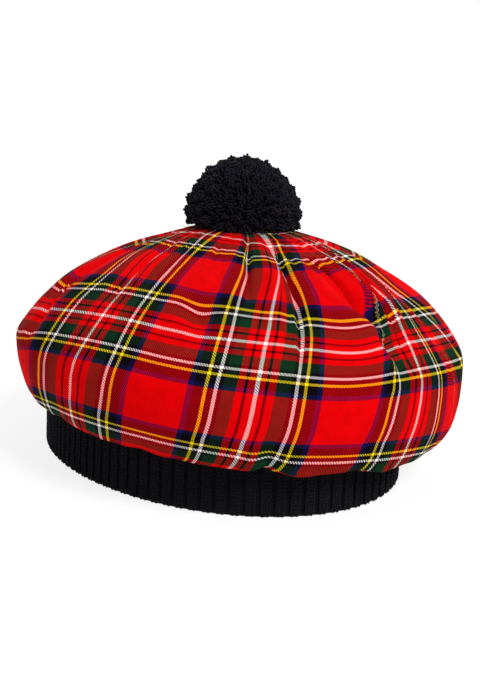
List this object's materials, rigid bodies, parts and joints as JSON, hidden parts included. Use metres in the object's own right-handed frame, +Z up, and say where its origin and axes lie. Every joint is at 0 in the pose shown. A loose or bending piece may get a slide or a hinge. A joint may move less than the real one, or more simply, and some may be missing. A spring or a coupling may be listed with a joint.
{
  "type": "tam o' shanter hat",
  "caption": "Soft round hat: a gathered tartan cloth crown over a ribbed knitted headband, with a yarn pompom on top.",
  "frame": {"origin": "middle of the headband's foot, on the surface the hat stands on", "axes": "+Z up, -Y toward the hat's front, +X toward the wearer's left"},
  "size_m": [0.2243, 0.2461, 0.1534],
  "materials": {
    "tartan": "twill-woven tartan in red, green, navy, black, yellow and white, matt",
    "rib_knit": "black rib knit, matt",
    "yarn": "black cut yarn, matt and fluffy"
  },
  "bodies": {
    "root": {"crown": "tartan", "headband": "rib_knit", "pompom": "yarn"}
  },
  "joints": []
}
